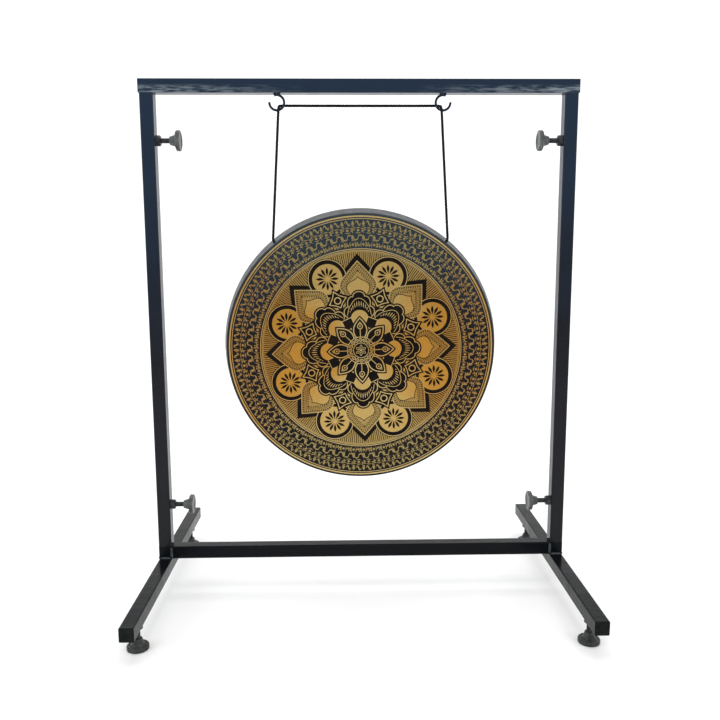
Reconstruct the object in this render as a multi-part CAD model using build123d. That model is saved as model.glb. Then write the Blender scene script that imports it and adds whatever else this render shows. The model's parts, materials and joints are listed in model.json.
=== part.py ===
from build123d import *
import os
from math import atan2, cos, degrees, radians, sin

# A tam tam gong that hangs by one cord from a knock-down stand of square steel tube.
# Millimetres, +Z up, +X to the player's right, the gong's face looks along -Y.
# The origin is on the floor, midway between the two posts and in their plane.

# ---- driving dimensions: the stand ----
TUBE = 25.0  # outer width of every tube of the frame
WALL = 1.6
CORNER = 2.2  # outer corner radius of the tube
FRAME_WIDTH = 800.0  # over the outer faces of the posts
POST_LENGTH = 860.0
FOOT_BAR_LENGTH = 575.0  # front to back, with its end caps
FOOT_HEIGHT = 45.0  # floor to the underside of a foot bar
CAP_THICKNESS = 2.0
PLUG_LENGTH = 10.0  # the part of an end cap that sits inside the tube
PLUG_GAP = 0.15
SPIGOT = 21.0  # inner tube that a post slides over
SPIGOT_WALL = 2.0
SPIGOT_LENGTH = 115.0
CLAMP_FROM_END = 83.0  # clamp screw to the nearer end of its post
FOOT_FROM_END = 62.5  # levelling foot to the end of its foot bar

# ---- driving dimensions: clamp screws and levelling feet, which are one pattern ----
STUD_RADIUS = 5.0
STUD_FIT = 0.08  # radial running clearance of a stud in its nut and its knob
WALL_HOLE_RADIUS = 5.5
NUT_ACROSS_FLATS = 17.0
NUT_HEIGHT = 9.0
DISC_RADIUS = 19.0
DISC_THICKNESS = 8.0
DISC_EDGE = 1.6
HUB_HEIGHT = 12.0
HUB_BASE_RADIUS = 10.5
HUB_TOP_RADIUS = 7.5
STAND_OFF = 45.0  # tube face to the outer face of the disc
STUD_IN_KNOB = 12.0
BORE_END_GAP = 0.5
CLAMP_TIP_GAP = 0.2  # tip of a clamp screw to the spigot, just slackened
FOOT_STUD_IN_TUBE = 14.0

# ---- driving dimensions: hooks, cord and gong ----
HOOK_X = 152.5
HOOK_WIRE_RADIUS = 2.25
HOOK_RING_RADIUS = 13.5  # centreline of the wire
HOOK_TIP_ROUNDING = 0.9
HOOK_OPEN_FROM = 112.0  # the mouth of the hook, in degrees from the inner side round the outer top
HOOK_OPEN_TO = 176.0
HOOK_DROP = 15.4  # tube underside to the centre of the ring
WELD_LENGTH = 13.0
WELD_WIDTH = 8.0
WELD_DEPTH = 3.4
CORD_RADIUS = 2.25
GONG_FACE_RADIUS = 257.0  # at the corner between face and rim
GONG_BACK_RADIUS = 266.0
GONG_DEPTH = 43.0
GONG_WALL = 1.8
GONG_CORNER = 5.0
FACE_RISE = 11.0  # how far the middle of the face stands proud of the corner
FACE_SHOULDER_RADIUS = 192.0
FACE_SHOULDER_RISE = 7.0
BAND_RISE = 4.3  # half way across the outer band of the face
HOLE_ANGLE = 38.6  # each side of the top
HOLE_DEPTH = 12.0  # behind the corner of the face
HOLE_RADIUS = 3.6
HOLE_Z = 687.0
KNOT_RADIUS = 6.0
KNOT_FACE = 5.3  # knot centre to the flat where the cord goes in
KNOT_INSET = 9.5  # hole centre to knot centre, along the hole

# ---- places that follow from them ----
BAR_TOP = FOOT_HEIGHT + TUBE
POST_BOTTOM = BAR_TOP + TUBE
POST_TOP = POST_BOTTOM + POST_LENGTH
RAIL_MIDDLE = POST_TOP + TUBE / 2
POST_X = (FRAME_WIDTH - TUBE) / 2
POST_INNER_X = FRAME_WIDTH / 2 - TUBE
FOOT_Y = FOOT_BAR_LENGTH / 2 - FOOT_FROM_END
HOOK_Z = POST_TOP - HOOK_DROP
SIDES = {"left": -1, "right": 1}
ENDS = {"front": -1, "back": 1}
CLAMP_HEIGHTS = {"lower": POST_BOTTOM + CLAMP_FROM_END, "upper": POST_TOP - CLAMP_FROM_END}

os.makedirs("parts", exist_ok=True)


def save(shape, name):
    """Write one piece as a node of its own."""
    export_step(shape, f"parts/{name}.step")


def along(axis, point):
    """A location whose local Z runs along a signed row axis, such as '+X'."""
    turned = {
        "+X": (0, 90, 0),
        "-X": (0, -90, 0),
        "+Y": (-90, 0, 0),
        "-Y": (90, 0, 0),
        "+Z": (0, 0, 0),
        "-Z": (180, 0, 0),
    }
    return Location(point, turned[axis])


def square_tube(size, wall, length, corner):
    """A square tube with rounded corners along +Z, from Z 0."""
    outer = RectangleRounded(size, size, corner)
    inner = RectangleRounded(size - 2 * wall, size - 2 * wall, max(corner - wall, 0.4))
    return extrude(outer - inner, length)


def square_bar(size, length, corner):
    """A solid square bar with rounded edges along +Z, from Z 0."""
    return extrude(RectangleRounded(size, size, corner), length)


def round_bar(radius, bottom, top):
    """A round bar on the local Z axis."""
    return Pos(0, 0, bottom) * Cylinder(
        radius, top - bottom, align=(Align.CENTER, Align.CENTER, Align.MIN)
    )


# ---- the frame ----
def end_cap():
    """A pressed cap: a plate as wide as the tube, on a hollow plug. Local +Z points out."""
    plate = square_bar(TUBE, CAP_THICKNESS, CORNER)
    plate = fillet(plate.faces().sort_by(Axis.Z)[-1].edges(), 0.8)
    plug_size = TUBE - 2 * WALL - 2 * PLUG_GAP
    plug = Pos(0, 0, -PLUG_LENGTH) * square_tube(plug_size, 2.0, PLUG_LENGTH, 0.6)
    return plate + plug


def post(side):
    """An upright tube with a clearance hole through its inner wall at each clamp screw."""
    tube = Pos(side * POST_X, 0, POST_BOTTOM) * square_tube(TUBE, WALL, POST_LENGTH, CORNER)
    for height in CLAMP_HEIGHTS.values():
        spot = along("+X", (side * POST_INNER_X, 0, height))
        tube -= spot * round_bar(WALL_HOLE_RADIUS, -2 * WALL, 2 * WALL)
    return tube


def foot_bar(side):
    """A foot tube along Y with a clearance hole in its floor at each levelling foot."""
    inner_length = FOOT_BAR_LENGTH - 2 * CAP_THICKNESS
    middle = FOOT_HEIGHT + TUBE / 2
    tube = along("+Y", (side * POST_X, -inner_length / 2, middle)) * square_tube(
        TUBE, WALL, inner_length, CORNER
    )
    for end in ENDS.values():
        spot = Pos(side * POST_X, end * FOOT_Y, FOOT_HEIGHT)
        tube -= spot * round_bar(WALL_HOLE_RADIUS, -2 * WALL, 2 * WALL)
    return tube


def spigot(side, bottom):
    """The inner tube that locates one end of a post."""
    return Pos(side * POST_X, 0, bottom) * square_tube(SPIGOT, SPIGOT_WALL, SPIGOT_LENGTH, 2.0)


def hook(side):
    """An open ring of round bar under the top rail, mouth up and outwards, with its weld."""
    turn = 360 - (HOOK_OPEN_TO - HOOK_OPEN_FROM)
    section = Pos(HOOK_RING_RADIUS, 0, 0) * Rot(90, 0, 0) * Circle(HOOK_WIRE_RADIUS)
    ring = revolve(section, Axis.Z, turn)
    tips = ring.edges().filter_by(
        lambda e: e.geom_type == GeomType.CIRCLE and abs(e.radius - HOOK_WIRE_RADIUS) < 0.001
    )
    ring = Rot(0, 0, HOOK_OPEN_TO) * fillet(tips, HOOK_TIP_ROUNDING)
    # The ring was drawn flat with its inner side towards +X, so stand it up in the XZ plane.
    ring = Rot(90, 0, 0) * ring
    lump = scale(Sphere(1), by=(WELD_LENGTH / 2, WELD_WIDTH / 2, WELD_DEPTH))
    weld = Pos(0, 0, HOOK_DROP) * lump
    standing = ring + weld
    if side > 0:
        standing = mirror(standing, Plane.YZ)
    standing = Pos(side * HOOK_X, 0, HOOK_Z) * standing
    above = Pos(side * HOOK_X, 0, POST_TOP + TUBE / 2) * Box(3 * TUBE, 3 * TUBE, TUBE)
    return standing - above


# ---- screws: nut, stud and knob share one local frame, with +Z out of the tube's face ----
def weld_nut():
    """A hex nut on the tube's face, corners eased on its free side."""
    corner_radius = NUT_ACROSS_FLATS / 2 / cos(radians(30))
    nut = extrude(RegularPolygon(corner_radius, 6), NUT_HEIGHT)
    easing = Cone(
        corner_radius + NUT_HEIGHT, NUT_ACROSS_FLATS / 2 - 0.4, NUT_HEIGHT,
        align=(Align.CENTER, Align.CENTER, Align.MIN),
    )
    return (nut & easing) - round_bar(STUD_RADIUS + STUD_FIT, -1, NUT_HEIGHT + 1)


def stud(inner_end):
    """The threaded stud, as a plain bar, from inner_end to its seat in the knob."""
    outer_end = STAND_OFF - DISC_THICKNESS - HUB_HEIGHT + STUD_IN_KNOB
    bar = round_bar(STUD_RADIUS, inner_end, outer_end)
    return chamfer(bar.edges().filter_by(GeomType.CIRCLE), 0.7)


def knob():
    """A disc with a tapered hub and a blind bore for the stud."""
    hub_start = STAND_OFF - DISC_THICKNESS - HUB_HEIGHT
    disc_start = STAND_OFF - DISC_THICKNESS
    disc = round_bar(DISC_RADIUS, disc_start, STAND_OFF)
    disc = fillet(disc.edges().filter_by(GeomType.CIRCLE), DISC_EDGE)
    hub = Pos(0, 0, hub_start) * Cone(
        HUB_TOP_RADIUS, HUB_BASE_RADIUS, HUB_HEIGHT + DISC_EDGE,
        align=(Align.CENTER, Align.CENTER, Align.MIN),
    )
    bore_end = hub_start + STUD_IN_KNOB + BORE_END_GAP
    return (disc + hub) - round_bar(STUD_RADIUS + STUD_FIT, hub_start - 1, bore_end)


# ---- the gong, first with its face in the XZ plane and its middle at the origin ----
def gong_profile():
    """Half of the section, radius along X and depth along Y, between an outer and an inner skin."""
    flare = atan2(GONG_BACK_RADIUS - GONG_FACE_RADIUS, GONG_DEPTH)
    rim_inset = GONG_WALL / cos(flare)
    band_radius = (FACE_SHOULDER_RADIUS + GONG_FACE_RADIUS) / 2

    def skin(thickness, inset):
        crown = FACE_RISE - thickness
        shoulder = FACE_SHOULDER_RISE - thickness
        quarter = crown + (shoulder - crown) / 4
        return [
            (0, -crown),
            (FACE_SHOULDER_RADIUS / 2, -quarter),
            (FACE_SHOULDER_RADIUS, -shoulder),
            (band_radius, thickness - BAND_RISE),
            (GONG_FACE_RADIUS - inset, thickness),
            (GONG_BACK_RADIUS - inset, GONG_DEPTH),
        ]

    outer = skin(0, 0)
    inner = skin(GONG_WALL, rim_inset)
    edges = []
    for points in (outer, inner):
        edges.append(ThreePointArc(*points[0:3]))
        edges.append(ThreePointArc(*points[2:5]))
        edges.append(Line(points[4], points[5]))
    edges.append(Line(outer[5], inner[5]))
    edges.append(Line(inner[0], outer[0]))
    section = make_face(Wire(edges))
    for (x, y), radius in ((outer[4], GONG_CORNER), (inner[4], GONG_CORNER - GONG_WALL)):
        corner = section.vertices().sort_by_distance((x, y, 0))[0]
        section = fillet(corner, radius)
    return section


def hole_radius_from_centre():
    """The rim's outer radius at the depth of the cord holes."""
    slope = (GONG_BACK_RADIUS - GONG_FACE_RADIUS) / GONG_DEPTH
    return GONG_FACE_RADIUS + slope * HOLE_DEPTH


def flat_gong():
    """The gong with its two cord holes, standing plumb."""
    body = revolve(gong_profile(), Axis.Y, 360)
    reach = hole_radius_from_centre()
    for side in SIDES.values():
        drill = round_bar(HOLE_RADIUS, reach - 12, reach + 12)
        body -= Pos(0, HOLE_DEPTH, 0) * Rot(0, side * HOLE_ANGLE, 0) * drill
    return body


def hung(body):
    """Tip the gong about its two holes until its weight is straight below them."""
    weight = body.center(CenterOf.MASS)
    drop = hole_radius_from_centre() * cos(radians(HOLE_ANGLE))
    tilt = degrees(atan2(HOLE_DEPTH - weight.Y, drop - weight.Z))
    print(f"gong tilt {tilt:.2f} degrees, volume {body.volume / 1000:.1f} cm3")
    placed = Pos(0, 0, HOLE_Z) * Rot(tilt, 0, 0) * Pos(0, -HOLE_DEPTH, -drop)
    return placed * body


# ---- the cord: knot, hole, leg, over the hook, span, and the same again ----
def cord_route():
    """Half of the route, from the knot inside the rim to the span behind the hook."""
    reach = hole_radius_from_centre()
    out = Vector(sin(radians(HOLE_ANGLE)), 0, cos(radians(HOLE_ANGLE)))
    hole = Vector(reach * out.X, 0, HOLE_Z)
    return [
        hole - out * (KNOT_INSET - KNOT_FACE),
        hole + out * 4.0,
        Vector(HOOK_X - 3.4, -5.6, HOOK_Z - 8.6),
        Vector(HOOK_X - 5.2, 5.6, HOOK_Z - 4.4),
    ]


def hanging_cord():
    """One tube along the whole route, and its length."""
    half = cord_route()
    route = half + [Vector(-p.X, p.Y, p.Z) for p in reversed(half)]
    bends = [5.0, 5.0, 5.0]
    radii = bends + bends[::-1]
    print("cord radii", radii)
    path = FilletPolyline(*route, radius=radii)
    start = path @ 0
    section = Plane(origin=start, z_dir=path % 0) * Circle(CORD_RADIUS)
    tube = sweep(section, path=path, transition=Transition.ROUND)
    expected = path.length * section.area
    print(f"cord length {path.length:.1f}, volume {tube.volume:.1f} of {expected:.1f}")
    return tube


def knot(side):
    """The stopper knot inside the rim, as the round lump that it fills."""
    above = Pos(0, 0, KNOT_FACE + KNOT_RADIUS) * Box(4 * KNOT_RADIUS, 4 * KNOT_RADIUS, 2 * KNOT_RADIUS)
    lump = Pos(0, 0, -KNOT_INSET) * (Sphere(KNOT_RADIUS) - above)
    hole_x = hole_radius_from_centre() * sin(radians(HOLE_ANGLE))
    return Pos(side * hole_x, 0, HOLE_Z) * Rot(0, side * HOLE_ANGLE, 0) * lump


# ---- build every node ----
rail = along("+X", (-FRAME_WIDTH / 2, 0, RAIL_MIDDLE)) * square_tube(
    TUBE, WALL, FRAME_WIDTH, CORNER
)
save(rail, "top_rail")
cross_length = FRAME_WIDTH - 2 * TUBE
save(
    along("+X", (-cross_length / 2, 0, BAR_TOP + TUBE / 2))
    * square_tube(TUBE, WALL, cross_length, CORNER),
    "crossbar",
)
CAP_FACE = FRAME_WIDTH / 2
BAR_END = FOOT_BAR_LENGTH / 2 - CAP_THICKNESS
for side_name, side in SIDES.items():
    outward = "+X" if side > 0 else "-X"
    inward = "-X" if side > 0 else "+X"
    save(along(outward, (side * CAP_FACE, 0, RAIL_MIDDLE)) * end_cap(), f"rail_cap_{side_name}")
    save(post(side), f"post_{side_name}")
    save(spigot(side, POST_BOTTOM), f"lower_spigot_{side_name}")
    save(spigot(side, POST_TOP - SPIGOT_LENGTH), f"upper_spigot_{side_name}")
    save(Pos(side * POST_X, 0, BAR_TOP) * square_bar(TUBE, TUBE, 1.2), f"post_block_{side_name}")
    save(foot_bar(side), f"foot_bar_{side_name}")
    save(hook(side), f"hook_{side_name}")
    save(knot(side), f"cord_knot_{side_name}")
    for level, height in CLAMP_HEIGHTS.items():
        spot = along(inward, (side * POST_INNER_X, 0, height))
        tip = -((TUBE - SPIGOT) / 2 - CLAMP_TIP_GAP)
        name = f"{level}_{side_name}"
        save(spot * weld_nut(), f"clamp_nut_{name}")
        save(spot * stud(tip), f"clamp_stud_{name}")
        save(spot * knob(), f"clamp_knob_{name}")
    for end_name, end in ENDS.items():
        outside = "+Y" if end > 0 else "-Y"
        name = f"{end_name}_{side_name}"
        cap_spot = (side * POST_X, end * BAR_END, FOOT_HEIGHT + TUBE / 2)
        save(along(outside, cap_spot) * end_cap(), f"foot_cap_{name}")
        spot = along("-Z", (side * POST_X, end * FOOT_Y, FOOT_HEIGHT))
        save(spot * weld_nut(), f"foot_nut_{name}")
        save(spot * stud(-FOOT_STUD_IN_TUBE), f"foot_stud_{name}")
        save(spot * knob(), f"foot_pad_{name}")
save(hung(flat_gong()), "gong")
save(hanging_cord(), "hanging_cord")
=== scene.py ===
"""A tam tam gong on its knock-down stand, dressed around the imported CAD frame. Metres, +Z up."""

import json
import random
from math import atan2, ceil, cos, dist, hypot, pi, radians, sin

import bpy
from mathutils import Matrix, Vector
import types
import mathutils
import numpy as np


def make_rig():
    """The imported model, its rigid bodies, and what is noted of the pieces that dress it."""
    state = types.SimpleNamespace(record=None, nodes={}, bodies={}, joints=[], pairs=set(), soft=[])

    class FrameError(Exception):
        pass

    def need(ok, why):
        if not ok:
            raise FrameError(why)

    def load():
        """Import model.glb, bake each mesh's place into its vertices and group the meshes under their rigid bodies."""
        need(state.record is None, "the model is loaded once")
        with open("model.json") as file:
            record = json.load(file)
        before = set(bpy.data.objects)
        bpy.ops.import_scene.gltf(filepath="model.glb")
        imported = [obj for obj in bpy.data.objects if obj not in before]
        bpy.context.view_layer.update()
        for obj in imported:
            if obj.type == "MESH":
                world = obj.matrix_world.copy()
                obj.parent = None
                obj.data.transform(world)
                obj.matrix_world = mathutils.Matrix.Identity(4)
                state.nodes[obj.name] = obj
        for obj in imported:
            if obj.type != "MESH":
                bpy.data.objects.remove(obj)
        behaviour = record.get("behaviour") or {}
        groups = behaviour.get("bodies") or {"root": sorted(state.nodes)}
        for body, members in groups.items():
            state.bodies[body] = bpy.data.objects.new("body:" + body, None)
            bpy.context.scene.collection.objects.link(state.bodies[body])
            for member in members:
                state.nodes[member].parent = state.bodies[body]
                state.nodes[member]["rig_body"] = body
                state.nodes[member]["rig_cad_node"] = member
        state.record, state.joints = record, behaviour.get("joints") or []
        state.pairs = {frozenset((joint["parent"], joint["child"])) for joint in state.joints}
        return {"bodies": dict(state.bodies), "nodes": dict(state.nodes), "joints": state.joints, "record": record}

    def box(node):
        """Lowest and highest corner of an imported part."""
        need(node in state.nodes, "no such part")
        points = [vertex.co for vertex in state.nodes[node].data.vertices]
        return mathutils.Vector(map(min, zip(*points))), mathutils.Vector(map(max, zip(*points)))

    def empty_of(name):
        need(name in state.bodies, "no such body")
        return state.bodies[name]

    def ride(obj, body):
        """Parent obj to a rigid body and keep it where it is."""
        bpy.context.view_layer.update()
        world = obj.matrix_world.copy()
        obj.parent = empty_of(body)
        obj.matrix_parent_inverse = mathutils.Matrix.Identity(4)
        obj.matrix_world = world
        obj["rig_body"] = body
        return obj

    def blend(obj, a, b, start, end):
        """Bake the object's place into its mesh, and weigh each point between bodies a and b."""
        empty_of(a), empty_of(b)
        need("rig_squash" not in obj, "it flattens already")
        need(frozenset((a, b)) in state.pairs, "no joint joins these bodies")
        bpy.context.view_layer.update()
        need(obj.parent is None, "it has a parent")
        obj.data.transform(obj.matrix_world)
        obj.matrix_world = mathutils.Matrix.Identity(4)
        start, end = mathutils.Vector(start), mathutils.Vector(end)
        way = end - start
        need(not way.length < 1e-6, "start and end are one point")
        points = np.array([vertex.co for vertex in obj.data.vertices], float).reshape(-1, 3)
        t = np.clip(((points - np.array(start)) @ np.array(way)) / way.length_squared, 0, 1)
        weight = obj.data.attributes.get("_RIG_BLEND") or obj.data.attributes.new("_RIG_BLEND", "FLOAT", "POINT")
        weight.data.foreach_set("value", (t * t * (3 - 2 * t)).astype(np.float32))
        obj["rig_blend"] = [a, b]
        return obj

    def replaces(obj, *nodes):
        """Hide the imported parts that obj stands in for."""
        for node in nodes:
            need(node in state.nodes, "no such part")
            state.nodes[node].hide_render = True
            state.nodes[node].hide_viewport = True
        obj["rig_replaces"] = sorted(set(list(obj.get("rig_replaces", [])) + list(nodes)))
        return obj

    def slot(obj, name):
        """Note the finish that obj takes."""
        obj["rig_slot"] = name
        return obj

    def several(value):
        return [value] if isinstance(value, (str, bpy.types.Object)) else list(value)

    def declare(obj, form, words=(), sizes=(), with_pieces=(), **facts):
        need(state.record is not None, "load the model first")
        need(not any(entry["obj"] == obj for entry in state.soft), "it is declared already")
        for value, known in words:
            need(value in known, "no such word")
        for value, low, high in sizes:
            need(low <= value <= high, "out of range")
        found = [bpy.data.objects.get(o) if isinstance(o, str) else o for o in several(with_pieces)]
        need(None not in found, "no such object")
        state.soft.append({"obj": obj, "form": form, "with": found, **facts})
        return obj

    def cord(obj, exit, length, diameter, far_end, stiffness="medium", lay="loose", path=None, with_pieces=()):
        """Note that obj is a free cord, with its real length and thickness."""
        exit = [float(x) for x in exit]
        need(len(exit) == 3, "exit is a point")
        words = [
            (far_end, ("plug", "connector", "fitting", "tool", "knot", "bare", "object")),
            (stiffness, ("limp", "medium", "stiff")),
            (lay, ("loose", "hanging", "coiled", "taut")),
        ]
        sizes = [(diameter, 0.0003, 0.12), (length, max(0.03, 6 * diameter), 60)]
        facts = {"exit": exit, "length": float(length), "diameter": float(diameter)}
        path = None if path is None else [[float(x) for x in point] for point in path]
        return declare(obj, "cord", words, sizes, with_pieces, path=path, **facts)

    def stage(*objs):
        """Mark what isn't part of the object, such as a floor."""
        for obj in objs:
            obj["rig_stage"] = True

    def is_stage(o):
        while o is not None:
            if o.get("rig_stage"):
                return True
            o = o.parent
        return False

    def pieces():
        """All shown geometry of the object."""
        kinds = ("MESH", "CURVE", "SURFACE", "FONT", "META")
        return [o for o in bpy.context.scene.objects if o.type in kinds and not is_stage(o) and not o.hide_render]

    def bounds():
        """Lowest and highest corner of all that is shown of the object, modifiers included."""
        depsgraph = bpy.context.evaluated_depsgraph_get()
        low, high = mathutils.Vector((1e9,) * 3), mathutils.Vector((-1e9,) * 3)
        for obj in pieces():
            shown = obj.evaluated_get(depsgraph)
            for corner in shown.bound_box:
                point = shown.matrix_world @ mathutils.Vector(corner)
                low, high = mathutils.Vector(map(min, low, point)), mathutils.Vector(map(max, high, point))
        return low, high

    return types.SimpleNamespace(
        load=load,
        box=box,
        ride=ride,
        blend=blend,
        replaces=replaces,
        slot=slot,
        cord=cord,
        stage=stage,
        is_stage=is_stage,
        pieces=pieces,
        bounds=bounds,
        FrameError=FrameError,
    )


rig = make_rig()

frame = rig.load()
CAD_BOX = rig.bounds()
MM = 0.001
NODES = frame["nodes"]
JOINTS = {joint["name"]: joint for joint in frame["joints"]}
SIDES = {"left": -1, "right": 1}


# ---------------- camera, light and floor
CAMERA_PLACE = (-0.0326, -1.4284, 0.6728)
CAMERA_YAW, CAMERA_PITCH, CAMERA_ROLL = radians(1.234), radians(8.368), radians(-0.203)
CAMERA_LENS, CAMERA_SENSOR = 37.48, 36.0  # millimetres
FLOOR_HALF = 6.0
SWEEP_START, SWEEP_RADIUS, SWEEP_HEIGHT, SWEEP_STEPS = 2.6, 1.6, 6.0, 16


def add_camera():
    data = bpy.data.cameras.new("camera")
    data.lens = CAMERA_LENS
    data.sensor_width = CAMERA_SENSOR
    camera = bpy.data.objects.new("camera", data)
    turn = Matrix.Rotation(-CAMERA_YAW, 4, "Z") @ Matrix.Rotation(pi / 2 - CAMERA_PITCH, 4, "X")
    turn = turn @ Matrix.Rotation(CAMERA_ROLL, 4, "Z")
    camera.matrix_world = Matrix.Translation(CAMERA_PLACE) @ turn
    bpy.context.collection.objects.link(camera)
    bpy.context.scene.camera = camera


def add_area(name, place, target, size, power, colour=(1, 1, 1)):
    data = bpy.data.lights.new(name, "AREA")
    data.shape = "RECTANGLE"
    data.size, data.size_y = size
    data.energy = power
    data.color = colour
    light = bpy.data.objects.new(name, data)
    aim = (Vector(target) - Vector(place)).to_track_quat("-Z", "Y")
    light.matrix_world = Matrix.Translation(place) @ aim.to_matrix().to_4x4()
    bpy.context.collection.objects.link(light)


def add_lights():
    add_area("overhead_softbox", (0, -0.2, 3.0), (0, 0, 0.4), (3.0, 2.4), 40)
    add_area("left_softbox", (-2.6, -1.6, 1.7), (0, 0, 0.5), (1.6, 2.2), 30, (0.93, 0.97, 1.0))
    add_area("right_softbox", (2.4, -2.0, 1.3), (0, 0, 0.5), (1.2, 1.8), 16, (1.0, 0.97, 0.93))
    add_area("backdrop_light", (0, 1.4, 3.4), (0, 4.2, 0.9), (5.0, 1.2), 55)
    world = bpy.data.worlds.new("studio")
    world.use_nodes = True
    background = world.node_tree.nodes["Background"]
    background.inputs["Color"].default_value = (1, 1, 1, 1)
    background.inputs["Strength"].default_value = 0.82
    bpy.context.scene.world = world
    bpy.context.scene.view_settings.view_transform = "Standard"


def add_floor():
    """A pale floor that sweeps up behind the object."""
    section = [(-FLOOR_HALF, 0.0), (SWEEP_START, 0.0)]
    for i in range(1, SWEEP_STEPS + 1):
        a = i / SWEEP_STEPS * pi / 2
        section.append((SWEEP_START + SWEEP_RADIUS * sin(a), SWEEP_RADIUS * (1 - cos(a))))
    section.append((SWEEP_START + SWEEP_RADIUS, SWEEP_HEIGHT))
    verts, faces = [], []
    for y, z in section:
        verts += [(-FLOOR_HALF, y, z), (FLOOR_HALF, y, z)]
    for i in range(len(section) - 1):
        faces.append((2 * i, 2 * i + 1, 2 * i + 3, 2 * i + 2))
    floor = new_object("floor", verts, faces, [floor_material()], smooth=True)
    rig.stage(floor)


# ---------------- meshes
def new_object(name, verts, faces, materials, slots=None, smooth=False):
    mesh = bpy.data.meshes.new(name)
    mesh.from_pydata([tuple(v) for v in verts], [], faces)
    for material in materials:
        mesh.materials.append(material)
    if slots is not None:
        mesh.polygons.foreach_set("material_index", slots)
    mesh.polygons.foreach_set("use_smooth", [smooth] * len(mesh.polygons))
    mesh.update()
    thing = bpy.data.objects.new(name, mesh)
    bpy.context.collection.objects.link(thing)
    return thing


def lathe(profile, segments):
    """Verts and faces of a profile of (radius, height) turned about local Z, closed at both ends."""
    turns = [2 * pi * j / segments for j in range(segments)]
    verts, faces = [], []
    add_rings(verts, faces, [[(r * cos(a), r * sin(a), height) for a in turns] for r, height in profile])
    return verts, faces


def carried(path):
    """Each point of a path with two directions across it, carried along without twist."""
    normal = None
    for i, p in enumerate(path):
        ahead = (path[min(i + 1, len(path) - 1)] - path[max(i - 1, 0)]).normalized()
        if normal is None:
            normal = ahead.orthogonal().normalized()
        normal = (normal - ahead * normal.dot(ahead)).normalized()
        yield p, normal, ahead.cross(normal)


def tube_rings(path, radius, sides, swell=None):
    """Rings of points along a path. swell(i) scales the radius of a ring."""
    turns = [2 * pi * j / sides for j in range(sides)]
    rings = []
    for i, (p, normal, side) in enumerate(carried(path)):
        r = radius * (swell(i) if swell else 1.0)
        rings.append([p + normal * (r * cos(a)) + side * (r * sin(a)) for a in turns])
    return rings


def add_rings(verts, faces, rings, capped=True):
    """Appends a tube made of rings to a mesh in the making."""
    base, sides = len(verts), len(rings[0])
    for ring in rings:
        verts.extend(ring)
    for i in range(len(rings) - 1):
        for j in range(sides):
            n = (j + 1) % sides
            a, b = base + i * sides, base + (i + 1) * sides
            faces.append((a + j, a + n, b + n, b + j))
    if capped:
        faces.append(tuple(base + j for j in reversed(range(sides))))
        last = base + (len(rings) - 1) * sides
        faces.append(tuple(last + j for j in range(sides)))


def stations(points, count_for):
    """Even stations along a line, as (segment, share of it) pairs, and the line's length."""
    lengths = [0.0]
    for a, b in zip(points, points[1:]):
        lengths.append(lengths[-1] + dist(a, b))
    count = count_for(lengths[-1])
    found, i = [], 0
    for k in range(count + 1):
        want = lengths[-1] * k / count
        while i < len(points) - 2 and lengths[i + 1] < want:
            i += 1
        found.append((i, (want - lengths[i]) / max(lengths[i + 1] - lengths[i], 1e-12)))
    return found, lengths[-1]


def dress(thing, node, body, slot):
    """Puts a finished piece in the place of a CAD node."""
    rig.ride(thing, body)
    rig.replaces(thing, node)
    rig.slot(thing, slot)


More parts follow.
